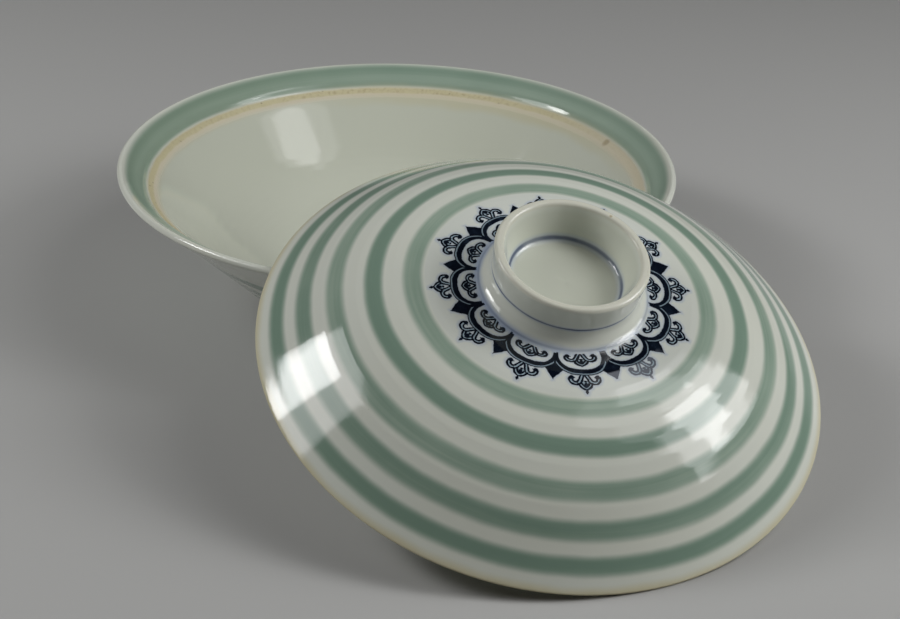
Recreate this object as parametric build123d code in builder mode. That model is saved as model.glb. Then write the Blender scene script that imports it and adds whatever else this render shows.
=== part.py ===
from build123d import *

import os
from math import cos, radians, sin, tan

# A wide porcelain bowl and its domed lid. The lid leans on the bowl: its low edge stands on the table
# and its underside lies on the bowl's rim. Millimetres and degrees, +Z up. The origin is the centre of
# the bowl's foot ring, on the table.

# Bowl, driving dimensions. Slopes are angles above the horizontal.
mouth_radius = 80.2
bowl_height = 38.6
wall_slope = 45.0
rim_slope = 40.0  # of the flared rim above the seat
rim_thickness = 2.1
flare_round = 60.0

# The unglazed seat that the lid's edge rests on, sunk a little way down the inside of the rim
seat_outer_radius = 71.6
seat_inner_radius = 68.7
seat_height = 33.0  # at its outer edge
seat_fall = 2.1
seat_round = 0.8

floor_height = 8.2  # of the inside
floor_round = 34.0

foot_radius = 42.2
foot_width = 2.6
foot_taper = 0.8
foot_height = 4.9
foot_edge_round = 0.6
foot_root_round = 1.0
underside_height = 4.2
shoulder_radius = 47.2
shoulder_height = 5.8
shoulder_round = 9.0

# Lid, driving dimensions. Heights are above the plane of its edge.
lid_radius = 72.0  # where the outer cone would meet the edge's plane if it weren't rounded
lid_slope = 41.4
lid_thickness = 2.6
lid_edge_round = 0.6
crown_height = 24.65
crown_round = 56.5
crown_inside_height = 22.2
crown_inside_round = 54.0

# The hollow grip ring on top of the lid
grip_radius = 18.8
grip_lip_width = 2.3
grip_height = 36.3
grip_lip_round = 1.0
grip_root_radius = 17.65
grip_root_round = 4.3
grip_floor_radius = 13.4
grip_floor_height = 26.9
grip_floor_round = 1.8

# Where the lid leans
lean_angle = 20.3  # of the lid's axis from upright
lean_azimuth = -65.9  # the side of the bowl that the lid stands on, from +X
lean_distance = 97.1  # from the bowl's axis to the centre of the lid's edge, seen from above


def beyond(point, angle, distance):
    """The point that lies a distance away from another, at an angle above the horizontal."""
    return (point[0] + distance * cos(radians(angle)), point[1] + distance * sin(radians(angle)))


def turned_outline(outline):
    """Draw the closed half section of a turned piece from its corners, each with its rounding radius."""
    corners = [corner for corner, rounding in outline]
    roundings = [rounding for corner, rounding in outline]
    FilletPolyline(*corners, radius=roundings, close=True)


# The rim ends in a nose as thick as itself, whose two corners are rounded until they nearly meet.
half_rim = rim_thickness / 2
nose_center = (mouth_radius - half_rim, bowl_height - half_rim)
nose_end = beyond(nose_center, rim_slope, half_rim)
lip_outer_corner = beyond(nose_end, rim_slope - 90, half_rim)
lip_inner_corner = beyond(nose_end, rim_slope + 90, half_rim)
lip_round = 0.98 * half_rim

# The straight outer wall rises from the shoulder to the line of the flared rim.
wall_rise = tan(radians(wall_slope))
rim_rise = tan(radians(rim_slope))
wall_top = shoulder_height + wall_rise * (lip_outer_corner[0] - shoulder_radius)
flare_reach = (wall_top - lip_outer_corner[1]) / (wall_rise - rim_rise)
flare_corner = (lip_outer_corner[0] - flare_reach, lip_outer_corner[1] - rim_rise * flare_reach)

seat_inner_height = seat_height - seat_fall
floor_radius = seat_inner_radius - (seat_inner_height - floor_height) / wall_rise
foot_inner_radius = foot_radius - foot_width

bowl_outline = [
    ((0, underside_height), 0),
    ((foot_inner_radius - foot_taper, underside_height), foot_root_round),
    ((foot_inner_radius, 0), foot_edge_round),
    ((foot_radius, 0), foot_edge_round),
    ((foot_radius + foot_taper, foot_height), foot_root_round),
    ((shoulder_radius, shoulder_height), shoulder_round),
    (flare_corner, flare_round),
    (lip_outer_corner, lip_round),
    (lip_inner_corner, lip_round),
    ((seat_outer_radius, seat_height), seat_round),
    ((seat_inner_radius, seat_inner_height), seat_round),
    ((floor_radius, floor_height), floor_round),
    ((0, floor_height), 0),
]

with BuildPart() as bowl:
    with BuildSketch(Plane.XZ):
        with BuildLine():
            turned_outline(bowl_outline)
        make_face()
    revolve(axis=Axis.Z)

# The lid's edge is a ring whose rounded corner just touches the table at its lowest point.
edge_ring_radius = lid_radius - lid_edge_round / tan(radians(lid_slope / 2))
edge_ring_drop = edge_ring_radius * sin(radians(lean_angle)) - lid_edge_round * cos(radians(lean_angle))
lean_height = edge_ring_drop + lid_edge_round

# The lid's own frame: local X runs down its slope, away from the bowl, and local Z is its axis.
downhill = Vector(cos(radians(lean_azimuth)), sin(radians(lean_azimuth)), 0)
upright = Vector(0, 0, 1)
lid_center = downhill * lean_distance + upright * lean_height
lid_axis = downhill * sin(radians(lean_angle)) + upright * cos(radians(lean_angle))
lid_slope_line = downhill * cos(radians(lean_angle)) - upright * sin(radians(lean_angle))
lid_section = Plane(origin=lid_center, x_dir=lid_slope_line, z_dir=lid_slope_line.cross(lid_axis))

lid_rise = tan(radians(lid_slope))
lid_inner_radius = lid_radius - lid_thickness / sin(radians(lid_slope))
crown_radius = lid_radius - crown_height / lid_rise
crown_inside_radius = lid_inner_radius - crown_inside_height / lid_rise
grip_inner_radius = grip_radius - grip_lip_width

lid_outline = [
    ((0, crown_inside_height), 0),
    ((crown_inside_radius, crown_inside_height), crown_inside_round),
    ((lid_inner_radius, 0), lid_edge_round),
    ((lid_radius, 0), lid_edge_round),
    ((crown_radius, crown_height), crown_round),
    ((grip_root_radius, crown_height), grip_root_round),
    ((grip_radius, grip_height), grip_lip_round),
    ((grip_inner_radius, grip_height), grip_lip_round),
    ((grip_floor_radius, grip_floor_height), grip_floor_round),
    ((0, grip_floor_height), 0),
]

with BuildPart() as lid:
    with BuildSketch(lid_section):
        with BuildLine():
            turned_outline(lid_outline)
        make_face()
    revolve(axis=Axis(lid_center, lid_axis))

bowl.part.label = "bowl"
lid.part.label = "lid"

os.makedirs("parts", exist_ok=True)
export_step(bowl.part, "parts/bowl.step")
export_step(lid.part, "parts/lid.step")

gap = bowl.part.distance_to(lid.part)
print(f"gap between lid and bowl {gap:.3f} mm, lowest point of the lid {lid.part.bounding_box().min.Z:.3f} mm")
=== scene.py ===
from math import acos, ceil, cos, pi, radians, sin, tan

import bpy
import numpy as np
from mathutils import Matrix, Vector


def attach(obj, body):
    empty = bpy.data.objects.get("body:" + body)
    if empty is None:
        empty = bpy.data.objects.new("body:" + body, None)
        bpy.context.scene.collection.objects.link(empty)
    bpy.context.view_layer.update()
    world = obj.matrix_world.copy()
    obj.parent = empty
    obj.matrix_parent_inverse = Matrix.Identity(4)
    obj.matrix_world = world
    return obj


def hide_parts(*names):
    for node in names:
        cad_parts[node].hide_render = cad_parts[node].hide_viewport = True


# A lidded porcelain bowl with celadon bands, its lid leaning on its rim. The outlines repeat the driving
# dimensions of the CAD part, in millimetres and degrees, and the meshes are turned into metres.

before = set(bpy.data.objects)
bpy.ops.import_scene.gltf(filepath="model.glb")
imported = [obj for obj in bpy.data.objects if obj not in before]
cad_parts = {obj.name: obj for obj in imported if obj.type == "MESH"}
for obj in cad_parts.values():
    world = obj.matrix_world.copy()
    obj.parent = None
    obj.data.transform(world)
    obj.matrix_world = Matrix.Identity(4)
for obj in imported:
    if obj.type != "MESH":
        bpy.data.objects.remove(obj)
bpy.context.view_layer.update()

MM = 0.001
FULL_TURN = radians(360)

# Bowl, from the CAD part
mouth_radius = 80.2
bowl_height = 38.6
wall_slope = 45.0
rim_slope = 40.0
rim_thickness = 2.1
flare_round = 60.0
seat_outer_radius = 71.6
seat_inner_radius = 68.7
seat_height = 33.0
seat_fall = 2.1
seat_round = 0.8
seat_edge_round = 25.0  # only here: glaze thins out over the edge that the CAD part leaves sharp
floor_height = 8.2
floor_round = 34.0
foot_radius = 42.2
foot_width = 2.6
foot_taper = 0.8
foot_height = 4.9
foot_edge_round = 0.6
foot_root_round = 1.0
underside_height = 4.2
shoulder_radius = 47.2
shoulder_height = 5.8
shoulder_round = 9.0

# Lid, from the CAD part. Heights are above the plane of its edge.
lid_radius = 72.0
lid_slope = 41.4
lid_thickness = 2.6
lid_edge_round = 0.6
crown_height = 24.65
crown_round = 56.5
crown_inside_height = 22.2
crown_inside_round = 54.0
grip_radius = 18.8
grip_lip_width = 2.3
grip_height = 36.3
grip_lip_round = 1.0
grip_root_radius = 17.65
grip_root_round = 4.3
grip_floor_radius = 13.4
grip_floor_height = 26.9
grip_floor_round = 1.8
lean_angle = 20.3
lean_azimuth = -65.9
lean_distance = 97.1

# The celadon bands on the lid: inner and outer radius and how dark the glaze is
lid_bands = [
    (33.9, 38.0, 0.42),
    (43.1, 46.8, 0.95),
    (51.8, 55.4, 0.5),
    (58.9, 62.0, 0.75),
    (65.0, 67.8, 0.95),
]
# The same on the outside of the bowl
bowl_bands = [
    (50.2, 52.8, 0.9),
    (55.3, 58.5, 0.7),
    (61.6, 65.0, 0.9),
]
band_relief = 0.014
band_shoulder = 1.6

# The bead of glaze on the bowl's inner wall, just above the seat
bead_height = 0.55
bead_crest = 2.0  # from the glaze's end up to the crest's lower edge
bead_crest_width = 0.1
bead_rise = 3.5  # the width of its gentle upper side
bead_fall = 2.2  # the width of its steeper lower side

# The meshes
turned_segments = 240
plain_step = 0.8
seat_step = 0.3
lid_outside_step = 0.45
lid_inside_step = 1.0


# ---------------------------------------------------------------- turned meshes


class Section:
    """The half section of a turned piece: points (radius, height) and the distance along it, in mm."""

    def __init__(self, outline, spacing):
        """Sample an outline's runs and arcs. spacing(radius, height) gives the longest step."""
        corners = [np.array(corner, float) for corner, rounding in outline]
        roundings = [rounding for corner, rounding in outline]
        points = [corners[0]]
        for before, corner, after, rounding in zip(corners, corners[1:], corners[2:], roundings[1:]):
            points += rounded_corner(before, corner, after, rounding)
        points.append(corners[-1])
        samples = [points[0]]
        for start, end in zip(points, points[1:]):
            middle = (start + end) / 2
            steps = max(1, ceil(np.linalg.norm(end - start) / spacing(*middle)))
            samples += [start + (end - start) * (k + 1) / steps for k in range(steps)]
        self.points = np.array(samples)
        lengths = np.linalg.norm(np.diff(self.points, axis=0), axis=1)
        self.along = np.concatenate([[0], np.cumsum(lengths)])

    def at(self, after=0.0, radius=None, height=None):
        """The distance along the section where it first crosses a radius or a height."""
        level = self.points[:, 1] - height if radius is None else self.points[:, 0] - radius
        for k in range(len(level) - 1):
            if self.along[k] >= after and level[k] * level[k + 1] <= 0 and level[k] != level[k + 1]:
                share = level[k] / (level[k] - level[k + 1])
                return float(self.along[k] + share * (self.along[k + 1] - self.along[k]))
        raise ValueError(f"the section doesn't cross {radius or height} after {after}")

    def widest(self):
        """The distance along the section of its greatest radius."""
        return float(self.along[np.argmax(self.points[:, 0])])

    def normals(self):
        """The outward direction at each point, in the plane of the section."""
        tangent = np.gradient(self.points, axis=0)
        normal = np.stack([tangent[:, 1], -tangent[:, 0]], axis=1)
        return normal / np.linalg.norm(normal, axis=1, keepdims=True)


def rounded_corner(before, corner, after, rounding):
    """The points of the arc that rounds a corner, or the corner itself."""
    if rounding == 0:
        return [corner]
    arriving = (corner - before) / np.linalg.norm(corner - before)
    leaving = (after - corner) / np.linalg.norm(after - corner)
    turn = acos(float(np.clip(arriving @ leaving, -1, 1)))
    reach = rounding * tan(turn / 2)
    side = np.sign(arriving[0] * leaving[1] - arriving[1] * leaving[0])
    center = corner - arriving * reach + side * rounding * np.array([-arriving[1], arriving[0]])
    first = corner - arriving * reach - center
    steps = max(4, ceil(turn / radians(5)))
    arc = []
    for k in range(steps + 1):
        angle = side * turn * k / steps
        spun = np.array([
            first[0] * cos(angle) - first[1] * sin(angle),
            first[0] * sin(angle) + first[1] * cos(angle),
        ])
        arc.append(center + spun)
    return arc


def turned_mesh(name, section, segments, place, relief):
    """Turn a section about its axis into a closed mesh.

    relief(angle, radius, height, along) moves the surface outwards, in mm. The mesh keeps each point's place
    in the piece's own frame, and its distance along the section, as attributes that the glazes use.
    """
    angle = np.arange(segments) * FULL_TURN / segments
    radius, height = section.points[:, 0], section.points[:, 1]
    normal = section.normals()
    lift = relief(angle[None, :], radius[:, None], height[:, None], section.along[:, None])
    ring_radius = np.maximum(radius[:, None] + normal[:, :1] * lift, 0)
    ring_height = height[:, None] + normal[:, 1:] * lift
    own = np.stack([ring_radius * np.cos(angle), ring_radius * np.sin(angle), ring_height], axis=2)
    on_axis = radius < 1e-6

    points, alongs, rows = [], [], []
    for k in range(len(radius)):
        start = len(points)
        if on_axis[k]:
            points.append((0.0, 0.0, float(ring_height[k].mean())))
            alongs.append(float(section.along[k]))
            rows.append([start] * segments)
        else:
            points.extend(map(tuple, own[k]))
            alongs.extend([float(section.along[k])] * segments)
            rows.append(list(range(start, start + segments)))
    faces = []
    for lower, upper in zip(rows, rows[1:]):
        for k in range(segments):
            j = (k + 1) % segments
            corners = [lower[k], lower[j], upper[j], upper[k]]
            faces.append(tuple(dict.fromkeys(corners)))

    mesh = bpy.data.meshes.new(name)
    mesh.from_pydata([place @ (Vector(p) * MM) for p in points], [], faces)
    mesh.attributes.new("own", "FLOAT_VECTOR", "POINT").data.foreach_set("vector", np.array(points).ravel())
    mesh.attributes.new("along", "FLOAT", "POINT").data.foreach_set("value", np.array(alongs))
    mesh.shade_smooth()
    mesh.validate()
    piece = bpy.data.objects.new(name, mesh)
    bpy.context.scene.collection.objects.link(piece)
    return piece


def ramp(value, start, end):
    """0 before start and 1 after end, smoothly."""
    t = np.clip((value - start) / (end - start), 0, 1)
    return t * t * (3 - 2 * t)


def uneven(angle):
    """How far a piece warped in the kiln lies inside its drawn outline, in mm and always negative."""
    return -0.05 - 0.03 * (np.cos(2 * angle + 0.6) + 1) - 0.015 * (np.cos(3 * angle + 2.1) + 1)


def banded_relief(radius, bands):
    """How much thicker the glaze lies on the coloured bands."""
    thickness = 0
    half = band_shoulder / 2
    for inner, outer, depth in bands:
        rise = ramp(radius, inner - half, inner + half)
        fall = 1 - ramp(radius, outer - half, outer + half)
        thickness = thickness + rise * fall
    return thickness * band_relief


# ---------------------------------------------------------------- the bowl's shape


def beyond(point, angle, distance):
    """The point that lies a distance away from another, at an angle above the horizontal."""
    return (point[0] + distance * cos(radians(angle)), point[1] + distance * sin(radians(angle)))


def bowl_outline():
    """The bowl's corners, each with its rounding radius, from the underside's centre round to the floor's."""
    half_rim = rim_thickness / 2
    nose_center = (mouth_radius - half_rim, bowl_height - half_rim)
    nose_end = beyond(nose_center, rim_slope, half_rim)
    lip_outer = beyond(nose_end, rim_slope - 90, half_rim)
    lip_inner = beyond(nose_end, rim_slope + 90, half_rim)
    lip_round = 0.98 * half_rim
    wall_rise = tan(radians(wall_slope))
    rim_rise = tan(radians(rim_slope))
    wall_top = shoulder_height + wall_rise * (lip_outer[0] - shoulder_radius)
    flare_reach = (wall_top - lip_outer[1]) / (wall_rise - rim_rise)
    flare = (lip_outer[0] - flare_reach, lip_outer[1] - rim_rise * flare_reach)
    seat_inner_height = seat_height - seat_fall
    floor_radius = seat_inner_radius - (seat_inner_height - floor_height) / wall_rise
    foot_inner_radius = foot_radius - foot_width
    return [
        ((0, underside_height), 0),
        ((foot_inner_radius - foot_taper, underside_height), foot_root_round),
        ((foot_inner_radius, 0), foot_edge_round),
        ((foot_radius, 0), foot_edge_round),
        ((foot_radius + foot_taper, foot_height), foot_root_round),
        ((shoulder_radius, shoulder_height), shoulder_round),
        (flare, flare_round),
        (lip_outer, lip_round),
        (lip_inner, lip_round),
        ((seat_outer_radius, seat_height), seat_round),
        ((seat_inner_radius, seat_inner_height), seat_edge_round),
        ((floor_radius, floor_height), floor_round),
        ((0, floor_height), 0),
    ]


def lid_outline():
    """The lid's corners, each with its rounding radius, from the inside's centre to the grip's floor."""
    rise = tan(radians(lid_slope))
    inner_radius = lid_radius - lid_thickness / sin(radians(lid_slope))
    crown_radius = lid_radius - crown_height / rise
    crown_inside_radius = inner_radius - crown_inside_height / rise
    grip_inner_radius = grip_radius - grip_lip_width
    return [
        ((0, crown_inside_height), 0),
        ((crown_inside_radius, crown_inside_height), crown_inside_round),
        ((inner_radius, 0), lid_edge_round),
        ((lid_radius, 0), lid_edge_round),
        ((crown_radius, crown_height), crown_round),
        ((grip_root_radius, crown_height), grip_root_round),
        ((grip_radius, grip_height), grip_lip_round),
        ((grip_inner_radius, grip_height), grip_lip_round),
        ((grip_floor_radius, grip_floor_height), grip_floor_round),
        ((0, grip_floor_height), 0),
    ]


def lid_place():
    """The lid's own frame in the row frame: X down its slope, away from the bowl, and Z its axis."""
    edge_ring = lid_radius - lid_edge_round / tan(radians(lid_slope / 2))
    lean = radians(lean_angle)
    lean_height = edge_ring * sin(lean) - lid_edge_round * cos(lean) + lid_edge_round
    downhill = Vector((cos(radians(lean_azimuth)), sin(radians(lean_azimuth)), 0))
    upright = Vector((0, 0, 1))
    slope_line = downhill * cos(lean) - upright * sin(lean)
    axis = downhill * sin(lean) + upright * cos(lean)
    turn = Matrix((slope_line, axis.cross(slope_line), axis)).transposed().to_4x4()
    return Matrix.Translation((downhill * lean_distance + upright * lean_height) * MM) @ turn


# ---------------------------------------------------------------- shader arithmetic


class Field:
    """A number that varies over a surface: a shader node's output, with ordinary arithmetic."""

    def __init__(self, tree, socket):
        self.tree = tree
        self.socket = socket

    def math(self, operation, *others):
        node = self.tree.nodes.new("ShaderNodeMath")
        node.operation = operation
        for slot, value in zip(node.inputs, (self, *others)):
            feed(self.tree, slot, value)
        return Field(self.tree, node.outputs[0])

    def __add__(self, other):
        return self.math("ADD", other)

    def __sub__(self, other):
        return self.math("SUBTRACT", other)

    def __rsub__(self, other):
        return (self * -1).math("ADD", other)

    def __mul__(self, other):
        return self.math("MULTIPLY", other)

    def __truediv__(self, other):
        return self.math("DIVIDE", other)

    def __pow__(self, other):
        return self.math("POWER", other)

    def __abs__(self):
        return self.math("ABSOLUTE")

    def least(self, other):
        return self.math("MINIMUM", other)

    def most(self, other):
        return self.math("MAXIMUM", other)

    def rising(self, start, end):
        """0 below start and 1 above end, smoothly; falling where end is below start."""
        node = self.tree.nodes.new("ShaderNodeMapRange")
        node.interpolation_type = "SMOOTHSTEP"
        low, high = min(start, end), max(start, end)
        feed(self.tree, node.inputs["Value"], self)
        node.inputs["From Min"].default_value = low
        node.inputs["From Max"].default_value = high
        node.inputs["To Min"].default_value = 0.0 if start < end else 1.0
        node.inputs["To Max"].default_value = 1.0 if start < end else 0.0
        return Field(self.tree, node.outputs["Result"])

    def within(self, start, end, soft):
        """1 between start and end, fading over a soft width at both."""
        half = soft / 2
        return self.rising(start - half, start + half) * self.rising(end + half, end - half)


def feed(tree, slot, value):
    """Set a socket to a constant or join it to a field."""
    if isinstance(value, Field):
        tree.links.new(value.socket, slot)
    else:
        slot.default_value = value


def length_of(a, b):
    return (a * a + b * b).math("SQRT")


class Surface:
    """A material in the making: its node tree, the piece's own coordinates, and the paint laid on so far."""

    def __init__(self, name):
        self.material = bpy.data.materials.new(name)
        self.material.use_nodes = True
        self.tree = self.material.node_tree
        self.shader = self.tree.nodes["Principled BSDF"]
        own = self.tree.nodes.new("ShaderNodeAttribute")
        own.attribute_name = "own"
        self.place = own.outputs["Vector"]
        split = self.tree.nodes.new("ShaderNodeSeparateXYZ")
        self.tree.links.new(self.place, split.inputs[0])
        self.x, self.y, self.z = (Field(self.tree, out) for out in split.outputs)
        self.radius = length_of(self.x, self.y)
        along = self.tree.nodes.new("ShaderNodeAttribute")
        along.attribute_name = "along"
        self.along = Field(self.tree, along.outputs["Fac"])
        self.colour = None

    def noise(self, size, detail=2.0, roughness=0.5, seed=0.0, stretch=(1, 1, 1)):
        """Soft noise about -1 to 1, with features of a size in mm."""
        place = self.tree.nodes.new("ShaderNodeMapping")
        place.inputs["Location"].default_value = (seed, seed * 0.7, seed * 1.3)
        place.inputs["Scale"].default_value = tuple(s / size for s in stretch)
        self.tree.links.new(self.place, place.inputs["Vector"])
        node = self.tree.nodes.new("ShaderNodeTexNoise")
        node.inputs["Scale"].default_value = 1.0
        node.inputs["Detail"].default_value = detail
        node.inputs["Roughness"].default_value = roughness
        self.tree.links.new(place.outputs["Vector"], node.inputs["Vector"])
        return (Field(self.tree, node.outputs["Fac"]) - 0.5) * 3.0

    def streaks(self, width, changes, seed=0.0):
        """Soft noise about -1 to 1, drawn out in circles about the piece's axis, as by a brush on a wheel.

        The streaks have a width in mm, and change about a number of times in a radian.
        """
        place = self.tree.nodes.new("ShaderNodeCombineXYZ")
        feed(self.tree, place.inputs[0], self.x / self.radius * changes + seed)
        feed(self.tree, place.inputs[1], self.y / self.radius * changes)
        feed(self.tree, place.inputs[2], self.radius / width)
        node = self.tree.nodes.new("ShaderNodeTexNoise")
        node.inputs["Scale"].default_value = 1.0
        node.inputs["Detail"].default_value = 1.0
        self.tree.links.new(place.outputs[0], node.inputs["Vector"])
        return (Field(self.tree, node.outputs["Fac"]) - 0.5) * 3.0

    def mark(self, radius, angle, size):
        """1 in a round mark at a radius and an angle about the piece's axis, with a soft edge."""
        place = (radius * cos(radians(angle)), radius * sin(radians(angle)))
        return length_of(self.x - place[0], self.y - place[1]).rising(size, 0.3 * size)

    def specks(self, spacing, size, seed=0.0):
        """1 in small spots, one to each cell of a spacing in mm. The second field is random per spot."""
        place = self.tree.nodes.new("ShaderNodeMapping")
        place.inputs["Location"].default_value = (seed, seed * 1.7, seed * 0.3)
        place.inputs["Scale"].default_value = (1 / spacing,) * 3
        self.tree.links.new(self.place, place.inputs["Vector"])
        node = self.tree.nodes.new("ShaderNodeTexVoronoi")
        node.inputs["Scale"].default_value = 1.0
        self.tree.links.new(place.outputs["Vector"], node.inputs["Vector"])
        spot = Field(self.tree, node.outputs["Distance"]).rising(size / spacing, 0.4 * size / spacing)
        chance = self.tree.nodes.new("ShaderNodeSeparateColor")
        self.tree.links.new(node.outputs["Color"], chance.inputs[0])
        return spot, Field(self.tree, chance.outputs[0])

    def paint(self, colour, share=None):
        """Lay a colour over what is there, where share is 1."""
        if share is None:
            self.colour = colour
            return
        node = self.tree.nodes.new("ShaderNodeMix")
        node.data_type = "RGBA"
        feed(self.tree, node.inputs["Factor"], share)
        for slot, value in (("A", self.colour), ("B", colour)):
            socket = [s for s in node.inputs if s.name == slot and s.type == "RGBA"][0]
            if isinstance(value, tuple):
                socket.default_value = (*value, 1.0)
            else:
                self.tree.links.new(value, socket)
        self.colour = [s for s in node.outputs if s.type == "RGBA"][0]

    def finish(self, roughness, height):
        """Join the colour, the roughness and a relief in mm to the shader."""
        self.tree.links.new(self.colour, self.shader.inputs["Base Color"])
        feed(self.tree, self.shader.inputs["Roughness"], roughness)
        bump = self.tree.nodes.new("ShaderNodeBump")
        bump.inputs["Strength"].default_value = 1.0
        bump.inputs["Distance"].default_value = MM
        feed(self.tree, bump.inputs["Height"], height)
        self.tree.links.new(bump.outputs["Normal"], self.shader.inputs["Normal"])
        return self.material


# Colours, linear
white_glaze = (0.79, 0.82, 0.74)
# A creamier white, darkened as painted shade for the hollows it is laid in
inside_glaze_and_shade = (0.665, 0.69, 0.58)
warm_glaze = (0.78, 0.785, 0.67)
celadon_pale = (0.42, 0.525, 0.43)
celadon_deep = (0.235, 0.345, 0.27)
celadon_olive = (0.26, 0.335, 0.235)
bare_clay = (0.68, 0.62, 0.39)
pale_clay = (0.74, 0.68, 0.52)
clay_shade = (0.52, 0.44, 0.26)
iron_speck = (0.20, 0.14, 0.08)
rust_spot = (0.33, 0.25, 0.12)
cream_lip = (0.79, 0.78, 0.66)
ink = (0.003, 0.006, 0.014)
thin_ink = (0.022, 0.04, 0.07)
faded_ink = (0.15, 0.17, 0.21)
pale_ink = (0.33, 0.43, 0.50)
cobalt_line = (0.018, 0.04, 0.125)
cobalt_wash = (0.30, 0.40, 0.62)
floor_paper = (0.50, 0.50, 0.49)


def glaze_ground(surface):
    """Milky white glaze that turns a little warmer in broad patches, with a few fine specks."""
    surface.paint(white_glaze)
    surface.paint(warm_glaze, surface.noise(38, detail=3).rising(-0.9, 1.3) * 0.5)
    for spacing, size, share, seed in ((6.0, 0.13, 0.35, 0.0), (13.0, 0.22, 0.5, 7.0)):
        spot, chance = surface.specks(spacing, size, seed)
        surface.paint(iron_speck, spot * chance.rising(0.60, 0.62) * share)


def celadon_band(surface, across, inner, outer, depth, where):
    """One band of green glaze, soft at both edges, with brush streaks and pools along its length."""
    wander = surface.noise(24, seed=inner) * 0.18 + surface.noise(4, seed=outer) * 0.05
    edge = across + wander
    mask = edge.within(inner, outer, 1.7) * where
    streak = surface.streaks(0.55, 2.2, seed=inner) * 0.10 + surface.streaks(1.6, 1.2, seed=outer) * 0.12
    flow = surface.noise(17, detail=3, seed=inner + 5) * 0.15
    pool = edge.rising(outer, inner) * 0.20 - 0.10
    surface.paint(celadon_pale, mask)
    surface.paint(celadon_deep, mask * (streak + flow + pool + depth).rising(0.0, 1.0))


def brush_line(surface, across, width, share, seed):
    """A thin cobalt line painted by hand round the piece, where across is 0, heavier in some places."""
    wander = surface.noise(15, seed=seed) * 0.10 + surface.noise(2.5, seed=seed + 1) * 0.04
    density = surface.noise(12, detail=2, seed=seed + 2).rising(-1.0, 1.0) * 0.55 + 0.45
    off = across + wander
    surface.paint(cobalt_wash, off.within(-1.2 * width, 1.2 * width, 1.6 * width) * density * 0.55 * share)
    surface.paint(cobalt_line, off.within(-width / 2, width / 2, 0.7 * width) * density * share)


def glaze_roughness(surface):
    """Glossy, with a slight unevenness."""
    return surface.noise(6, seed=2) * 0.015 + 0.08


def glaze_relief(surface):
    """The slight unevenness of a glazed surface, in mm."""
    return surface.noise(11, detail=1) * 0.010 + surface.noise(1.6, detail=3, seed=3) * 0.0035


# ---------------------------------------------------------------- the printed medallion

# Its pattern repeats twelve times round the lid. In each repeat u is the distance from the scallop's middle,
# on a circle of the medallion's mean radius, and v is the radius, in mm. It mirrors about the middle.
repeats = 12
mean_radius = 26.5
first_scallop = -13.0  # degrees from the lid's own X
half_repeat = mean_radius * radians(180 / repeats)
arch_top = 26.85
window_middle, window_half_width, window_half_height, window_squareness = 20.5, 6.2, 4.95, 2.6
finial_foot = 27.25


def farther(distance, region):
    """A distance, made large where a region is positive."""
    return distance + region.math("GREATER_THAN", 0.0) * 9.0


def scroll(u, v):
    """A finial: two scrolled arms that part from a stem, under a pointed cap.

    It gives two signed distances in mm, of the dark drawing and of the pale body inside it.
    """
    arm_u, arm_v, arm_radius = 2.05, 28.35, 1.02
    arm_end = 27.78
    tube_radius = 0.38
    line = 0.24
    ring = abs(length_of(u - arm_u, v - arm_v) - arm_radius)
    inward_below = (arm_u - u).least(arm_v - v)
    ring = farther(farther(ring, inward_below), arm_end - v)
    stem_lean = 0.42
    stem = abs(u - (v - finial_foot) * stem_lean - 0.50)
    stem = farther(farther(stem, v - arm_v - 0.05), 27.0 - v)
    tube = ring.least(stem)
    outline = abs(tube - tube_radius) - line
    body = tube - 0.26
    curl = length_of(u - 2.90, v - 27.86) - 0.56
    cap = length_of(u + 0.9, v - 28.9) - 2.6
    cap_foot = 29.25 - v
    outer_line = abs(cap + 0.18) - line
    inner_line = abs(cap + 0.86) - line
    cap_lines = outer_line.least(inner_line).most(cap_foot)
    bud = length_of(u, (v - 29.75) * 0.7) - 0.42
    foot = length_of(u * 0.8, v - 28.9) - 0.28
    dark = outline.least(curl).least(cap_lines).least(bud).least(foot)
    return dark, body.least(cap.most(cap_foot - 0.5))


def scallop_grid(surface):
    """The place in one repeat of the medallion, shaken as in a transfer print laid on by hand: u and v."""
    turn = surface.y.math("ARCTAN2", surface.x) * (repeats / FULL_TURN) - first_scallop * repeats / 360
    cell = (turn + 0.5).math("FLOOR")
    slip = (cell * 2.3 + 0.4).math("SINE") * 0.16
    skew = (cell * 4.1 + 1.0).math("SINE") * 0.014
    shake = surface.noise(1.3, detail=2, seed=11) * 0.05
    off_middle = abs(turn - cell + skew + surface.noise(13, seed=12) * 0.012)
    u = off_middle * (2 * half_repeat) + shake
    v = surface.radius + slip + surface.noise(19, seed=13) * 0.40
    return u, v + surface.noise(0.9, detail=1, seed=14) * 0.07


def arch_over(u, v):
    """The signed distance in mm from the scallop's arch, positive outside it."""
    fall = u * u * u * -0.01
    slope = u * u * 0.03
    steepness = (slope * slope + 1.0).math("SQRT")
    return (v - arch_top - fall) / steepness


def window_in(u, v):
    """The signed distance in mm from the rounded window in a scallop, negative inside it."""
    across = (u / window_half_width) ** window_squareness
    upward = (abs(v - window_middle) / window_half_height) ** window_squareness
    mean_half_size = 5.2
    return ((across + upward) ** (1 / window_squareness) - 1.0) * mean_half_size


def leaf_between(v, apart, arch):
    """The signed distance in mm from the pointed leaf between two scallops."""
    tip = 29.15
    taper = (((v * -1) + tip) / 1.85).most(0.0).least(1.0) ** 1.15
    flare = ((v * -1) + 27.3).most(0.0) ** 1.5
    leaf = apart - taper * 1.45 - flare * 0.75
    return leaf.most((arch * -1) + 0.05).most(v - tip - 0.05)


def spike_on(u, v):
    """The signed distance in mm from the small spike on a finial's point."""
    above = abs(v - 31.7)
    return (u - 0.36 + above * 0.45).most(above - 0.6)


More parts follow.
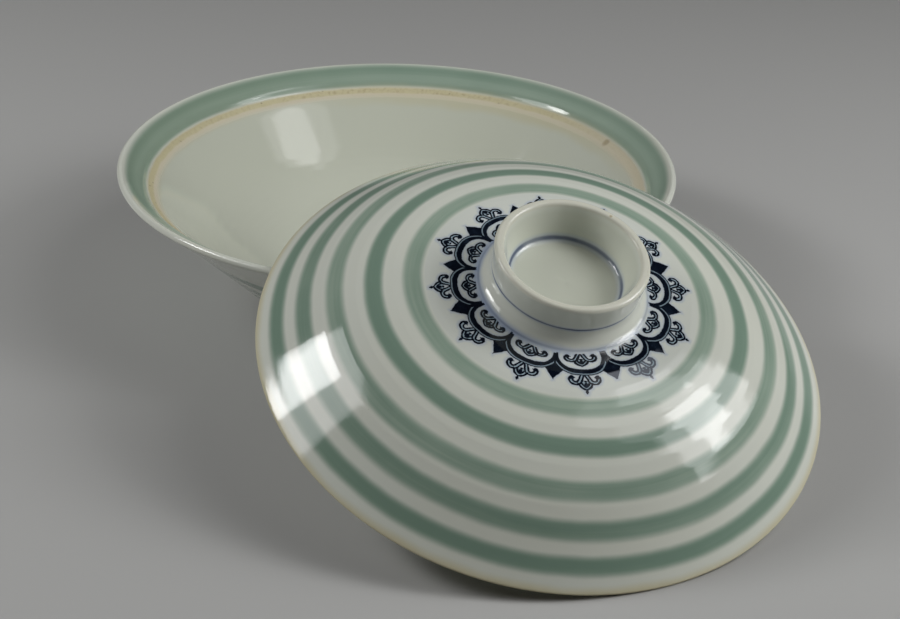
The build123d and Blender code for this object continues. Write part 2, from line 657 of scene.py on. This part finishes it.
def medallion(surface, where):
    """A lacy ring of scallops in dark blue ink, with a leaf between each two and a finial on each."""
    u, v = scallop_grid(surface)
    apart = (u * -1) + half_repeat
    arch = arch_over(u, v)
    window = window_in(u, v)
    frame_ink = (arch - 0.42).most(window * -1).most((v * -1) + 21.1)
    leaf = leaf_between(v, apart, arch)
    finial, finial_body = scroll(u, v)
    inner, inner_body = scroll(u * 0.77, (v - 21.35) * 1.23 + finial_foot)
    blot = surface.noise(1.1, detail=2, seed=27) * 0.10
    finial_ink = (finial + blot).most((arch * -1) + 0.2)
    inner_ink = (inner - 0.03 + blot).most(window + 0.75)
    ragged = surface.noise(0.5, detail=2, seed=18)
    dark = frame_ink.least(leaf).least(spike_on(u, v)).least(finial_ink).least(inner_ink) + ragged * 0.07
    pale_line = (abs(arch) - 0.14).most(0.35 - apart) + ragged * 0.05
    body = finial_body.most((arch * -1) + 0.3).least(inner_body.most(window + 0.75))
    print_medallion(surface, v, dark, body, pale_line, surface.radius.within(20.2, 33.2, 0.6) * where)


def print_medallion(surface, v, dark, body, pale_line, reach):
    """Lay the medallion on the glaze: a blue haze, the pale bodies, the ink with its wear, the pale line."""
    surface.paint(cobalt_wash, reach * 0.07)
    surface.paint(cobalt_wash, (dark - 0.35).rising(0.6, -0.4) * reach * 0.42)
    surface.paint(pale_ink, body.rising(0.08, -0.08) * reach * 0.9)
    wear = surface.noise(2.2, detail=3, seed=15).rising(-0.2, 1.5)
    solid = dark.rising(0.07, -0.07) * reach
    surface.paint(ink, solid)
    surface.paint(thin_ink, solid * wear * 0.8)
    degrees = surface.y.math("ARCTAN2", surface.x) * (360 / FULL_TURN)
    worn_patch = degrees.within(-4, 31, 6) * v.rising(26.9, 27.5)
    surface.paint(faded_ink, worn_patch * solid * (surface.noise(3, detail=2, seed=16) * 0.15 + 0.72))
    surface.paint(pale_ink, pale_line.rising(0.08, -0.06) * reach * (surface.noise(3, seed=17) * 0.15 + 0.75))


# ---------------------------------------------------------------- the two glazes


def wall_celadon(surface, band_top, seat_start, cooler_side):
    """The celadon that fills the bowl's inner wall between the lip and the seat."""
    across = surface.along + surface.noise(12, seed=8) * 0.12
    tilted = across + surface.y * 0.013
    upper_edge = tilted.rising(band_top - 1.3, band_top + 1.3)
    lower_edge = across.rising(seat_start + 0.1, seat_start - 1.1)
    band = upper_edge * lower_edge
    streak = surface.streaks(0.6, 2.0, seed=9) * 0.07 + surface.noise(18, detail=2, seed=10) * 0.10
    thick = across.rising(band_top + 4.0, band_top + 0.4) * 0.4
    surface.paint(celadon_pale, band)
    surface.paint(celadon_deep, band * (thick + streak + 0.35))
    surface.paint(celadon_olive, band * surface.x.rising(10, -75) * 0.3)
    surface.paint(celadon_pale, band * cooler_side * 0.35)


def seat_stains(surface, seat_start, seat_end):
    """The warm tinge that the bare clay leaves in the glaze beside it, strongest at one side."""
    wander = surface.noise(16, detail=3, seed=19) * 0.8
    halo = (surface.along + wander).within(seat_start - 0.1, seat_end + 1.0, 1.6)
    surface.paint(bare_clay, halo * surface.noise(50, detail=1, seed=20).rising(-0.6, 0.8) * 0.35)
    toward = radians(62)
    stained_side = surface.x * cos(toward) + surface.y * sin(toward)
    drift = surface.noise(14, detail=3, seed=26)
    stain = (surface.along + drift).within(seat_start - 0.3, seat_end + 2.6, 3.4)
    surface.paint(bare_clay, stain * stained_side.rising(30, 72) * 0.5)


def seat_clay(surface, seat_start, seat_end):
    """The bare seat: pale clay with an ochre stripe along its outer half, rust, grit and one brown spot.

    It gives the share of bare clay.
    """
    settled = surface.along + surface.noise(3, detail=3, seed=4) * 0.18
    outer_edge = settled.rising(seat_start - 0.3, seat_start + 0.8)
    inner_edge = settled.rising(seat_end + 1.0, seat_end - 1.2)
    clay = outer_edge * inner_edge
    surface.paint(pale_clay, clay)
    wander = surface.noise(5, detail=2, seed=5) * 0.3
    ochre = (surface.along + wander).within(seat_start + 0.3, seat_start + 2.1, 0.8)
    ochre = ochre * surface.x.rising(70, 42).most(0.15)
    surface.paint(bare_clay, ochre)
    rusty_side = surface.noise(60, seed=30).rising(-0.9, 0.6)
    rust = surface.noise(1.2, detail=4, seed=6).rising(-0.3, 0.9) * rusty_side
    surface.paint(clay_shade, ochre * rust * 0.9)
    surface.paint(rust_spot, surface.mark(70.7, 27.5, 1.7) * clay * 0.55)
    spot, chance = surface.specks(3.0, 0.45, 5.0)
    surface.paint(iron_speck, spot * chance.rising(0.35, 0.4) * ochre * 0.5)
    return clay


def bowl_glaze(section):
    """White outside with three bands, celadon down to the bare seat, and inside it a creamier white, darkened
    as painted shade.
    """
    surface = Surface("bowl_glaze")
    lip = section.widest()
    band_top = section.at(lip + 1, radius=77.5)
    seat_start = section.at(lip + 1, radius=seat_outer_radius + 0.15)
    seat_end = section.at(seat_start, radius=seat_inner_radius + 0.1)
    foot_start = section.at(radius=foot_radius - foot_width + 0.1)
    foot_end = section.at(foot_start, radius=foot_radius)

    glaze_ground(surface)
    outside = surface.along.rising(lip, lip - 0.2)
    inside = surface.along.rising(seat_start - 1, seat_start + 1)
    cooler_side = surface.x.rising(15, 80)
    # Painted shade: a darker, creamier white inside the bowl, less of it on the cooler side
    surface.paint(inside_glaze_and_shade, inside * (0.85 - cooler_side * 0.45))
    for inner, outer, depth in bowl_bands:
        celadon_band(surface, surface.radius, inner, outer, depth, outside)
    wall_celadon(surface, band_top, seat_start, cooler_side)
    seat_stains(surface, seat_start, seat_end)
    clay = seat_clay(surface, seat_start, seat_end)
    foot_ring = surface.along.within(foot_start, foot_end, 0.8)
    surface.paint(bare_clay, foot_ring)
    bare = clay.most(foot_ring)
    grain = bare * surface.noise(0.7, detail=3) * 0.03
    return surface.finish(glaze_roughness(surface) + bare * 0.55, glaze_relief(surface) + grain)


def medallion_ground(surface, where):
    """The blue that has run in the glaze round the foot of the grip ring, more on one side."""
    run = (surface.radius + surface.noise(6, seed=21) * 0.3).within(19.9, 21.6, 1.4)
    washed_side = (surface.x * -0.4 - surface.y).rising(-20, 20) * 0.45 + 0.15
    uneven_run = surface.noise(7, detail=2, seed=22) * 0.3 + 1.0
    surface.paint(cobalt_wash, run * washed_side * uneven_run * where)


def lid_edge_clay(surface, edge):
    """The wiped edge of the lid, with the ochre margin of the glaze. It gives the share of bare clay."""
    wander = surface.noise(14, detail=2, seed=25) * 0.5
    margin = (surface.along + wander).within(edge - 3.0, edge + 1.3, 2.4)
    surface.paint(bare_clay, margin * 0.8)
    wobble = surface.noise(4, detail=3, seed=4) * 0.15
    clay = (surface.along + wobble).within(edge - 2.4, edge + 0.1, 0.5)
    surface.paint(clay_shade, clay * 0.6)
    return clay


def lid_glaze(section):
    """White with five bands outside, the medallion and blue lines about the grip ring, painted shade in the
    ring's hollow, and a plain inside.
    """
    surface = Surface("lid_glaze")
    edge = section.widest()
    grip_foot = section.at(edge, height=25.05)
    waist = section.at(edge, height=29.2)
    lip_start = section.at(waist, height=grip_height - 0.8)
    lip_end = section.at(lip_start + 2, height=grip_height - 0.8)
    floor_line = section.at(lip_end, radius=grip_floor_radius + 0.2)

    glaze_ground(surface)
    outside = surface.along.rising(edge - 0.2, edge + 0.2) * surface.along.rising(waist, waist - 1)
    for inner, outer, depth in lid_bands:
        celadon_band(surface, surface.radius, inner, outer, depth, outside)
    medallion_ground(surface, outside)
    medallion(surface, outside)
    brush_line(surface, surface.along - grip_foot, 0.5, 0.38, 31.0)
    brush_line(surface, surface.along - waist, 0.42, 0.95, 32.0)
    # Painted shade: a darker white in the hollow of the grip ring
    surface.paint(inside_glaze_and_shade, surface.along.rising(lip_end, lip_end + 2.0) * 0.6)
    brush_line(surface, surface.along - floor_line, 0.9, 1.0, 33.0)
    lip = (surface.along + surface.noise(5, seed=23) * 0.2).within(lip_start, lip_end, 1.0)
    surface.paint(cream_lip, lip * (surface.noise(0.8, detail=2, seed=24) * 0.2 + 0.75))
    surface.paint(clay_shade, surface.mark(17.2, 123.6, 0.55) * lip * 0.8)
    clay = lid_edge_clay(surface, edge)
    roughness = glaze_roughness(surface) + clay * 0.5 + lip * 0.08
    grain = clay * surface.noise(0.7, detail=3) * 0.02
    return surface.finish(roughness, glaze_relief(surface) + grain)


# ---------------------------------------------------------------- pieces


def bowl_step(radius, height):
    """The longest mesh step along the bowl's section: short where the glaze bead and the seat are."""
    near_seat = seat_inner_radius - 0.7 < radius < seat_outer_radius + 3.4 and height > seat_height - 4
    return seat_step if near_seat else plain_step


def lid_step(radius, height):
    """The longest mesh step along the lid's section: shorter outside the grip ring, above the edge."""
    return lid_outside_step if radius > 20 and height > 1 else lid_inside_step


def glaze_bead(along, glaze_end):
    """The rounded end of the bowl's inner glaze, where it pulled back from the bare seat."""
    crest_end = glaze_end - bead_crest
    crest_start = crest_end - bead_crest_width
    rise = ramp(along, crest_start - bead_rise, crest_start)
    fall = 1 - ramp(along, crest_end, crest_end + bead_fall)
    return rise * fall * bead_height


def add_bowl():
    section = Section(bowl_outline(), bowl_step)
    lip = section.widest()
    glaze_end = section.at(lip + 1, radius=seat_outer_radius + 0.3)

    def relief(angle, radius, height, along):
        outer_bands = banded_relief(radius, bowl_bands) * (along < lip)
        return outer_bands + glaze_bead(along, glaze_end) + uneven(angle)

    piece = turned_mesh("bowl_body", section, turned_segments, Matrix.Identity(4), relief)
    piece.data.materials.append(bowl_glaze(section))
    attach(piece, "bowl")
    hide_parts("bowl")


def add_lid():
    section = Section(lid_outline(), lid_step)
    edge = section.widest()

    def relief(angle, radius, height, along):
        return banded_relief(radius, lid_bands) * (along > edge) + uneven(angle)

    piece = turned_mesh("lid_body", section, turned_segments, lid_place(), relief)
    piece.data.materials.append(lid_glaze(section))
    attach(piece, "lid")
    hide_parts("lid")


# ---------------------------------------------------------------- the studio


def add_floor():
    """A wide pale floor."""
    half_width = 4.0
    steps = 8
    row = steps + 1
    mesh = bpy.data.meshes.new("floor")
    ticks = np.linspace(-half_width, half_width, row)
    points = [(x, y, 0.0) for y in ticks for x in ticks]
    faces = [
        (j * row + i, j * row + i + 1, (j + 1) * row + i + 1, (j + 1) * row + i)
        for j in range(steps)
        for i in range(steps)
    ]
    mesh.from_pydata(points, [], faces)
    floor = bpy.data.objects.new("floor", mesh)
    bpy.context.scene.collection.objects.link(floor)
    material = bpy.data.materials.new("floor_paper")
    material.use_nodes = True
    shader = material.node_tree.nodes["Principled BSDF"]
    shader.inputs["Base Color"].default_value = (*floor_paper, 1)
    shader.inputs["Roughness"].default_value = 0.9
    mesh.materials.append(material)


def add_softbox(name, center, target, size, radiance):
    """A rectangular softbox that faces a target. Its brightness is given as radiance."""
    light = bpy.data.lights.new(name, "AREA")
    light.shape = "RECTANGLE"
    light.size, light.size_y = size
    light.energy = radiance * pi * size[0] * size[1]
    box = bpy.data.objects.new(name, light)
    aim = (Vector(target) - Vector(center)).to_track_quat("-Z", "Y").to_matrix().to_4x4()
    box.matrix_world = Matrix.Translation(center) @ aim
    bpy.context.scene.collection.objects.link(box)


def add_lights():
    left = (-0.01, -0.12, 0.03)
    right = (0.07, -0.12, 0.35)
    add_softbox("left_softbox", (-0.60, -0.12, 0.54), left, (0.41, 0.25), 4.0)
    add_softbox("left_core", (-0.58, -0.02, 0.455), left, (0.23, 0.14), 11.0)
    add_softbox("right_softbox", (0.57, -0.10, 0.62), right, (0.48, 0.75), 1.1)
    add_softbox("right_upper", (0.565, -0.02, 0.80), right, (0.20, 0.28), 2.5)
    add_softbox("right_lower", (0.56, -0.10, 0.40), right, (0.38, 0.34), 2.8)
    add_softbox("right_core", (0.555, -0.095, 0.455), right, (0.19, 0.17), 5.5)
    add_softbox("right_spot", (0.55, -0.11, 0.31), right, (0.13, 0.10), 6.5)
    world = bpy.data.worlds.new("studio")
    world.use_nodes = True
    background = world.node_tree.nodes["Background"]
    background.inputs["Color"].default_value = (1, 1, 1, 1)
    background.inputs["Strength"].default_value = 0.02
    bpy.context.scene.world = world
    bpy.context.scene.view_settings.view_transform = "Standard"


def add_camera():
    """The camera looks down along +Y at a small tilt and roll."""
    looks_down = 27.84
    rolls = 1.969
    place = (0.01648, -0.46685, 0.23608)
    data = bpy.data.cameras.new("camera")
    data.sensor_width = 36.0
    data.lens = 69.87
    camera = bpy.data.objects.new("camera", data)
    tilt = Matrix.Rotation(radians(90 - looks_down), 4, "X")
    roll = Matrix.Rotation(radians(rolls), 4, "Z")
    camera.matrix_world = Matrix.Translation(place) @ tilt @ roll
    bpy.context.scene.collection.objects.link(camera)
    bpy.context.scene.camera = camera


add_bowl()
add_lid()
add_floor()
add_lights()
add_camera()
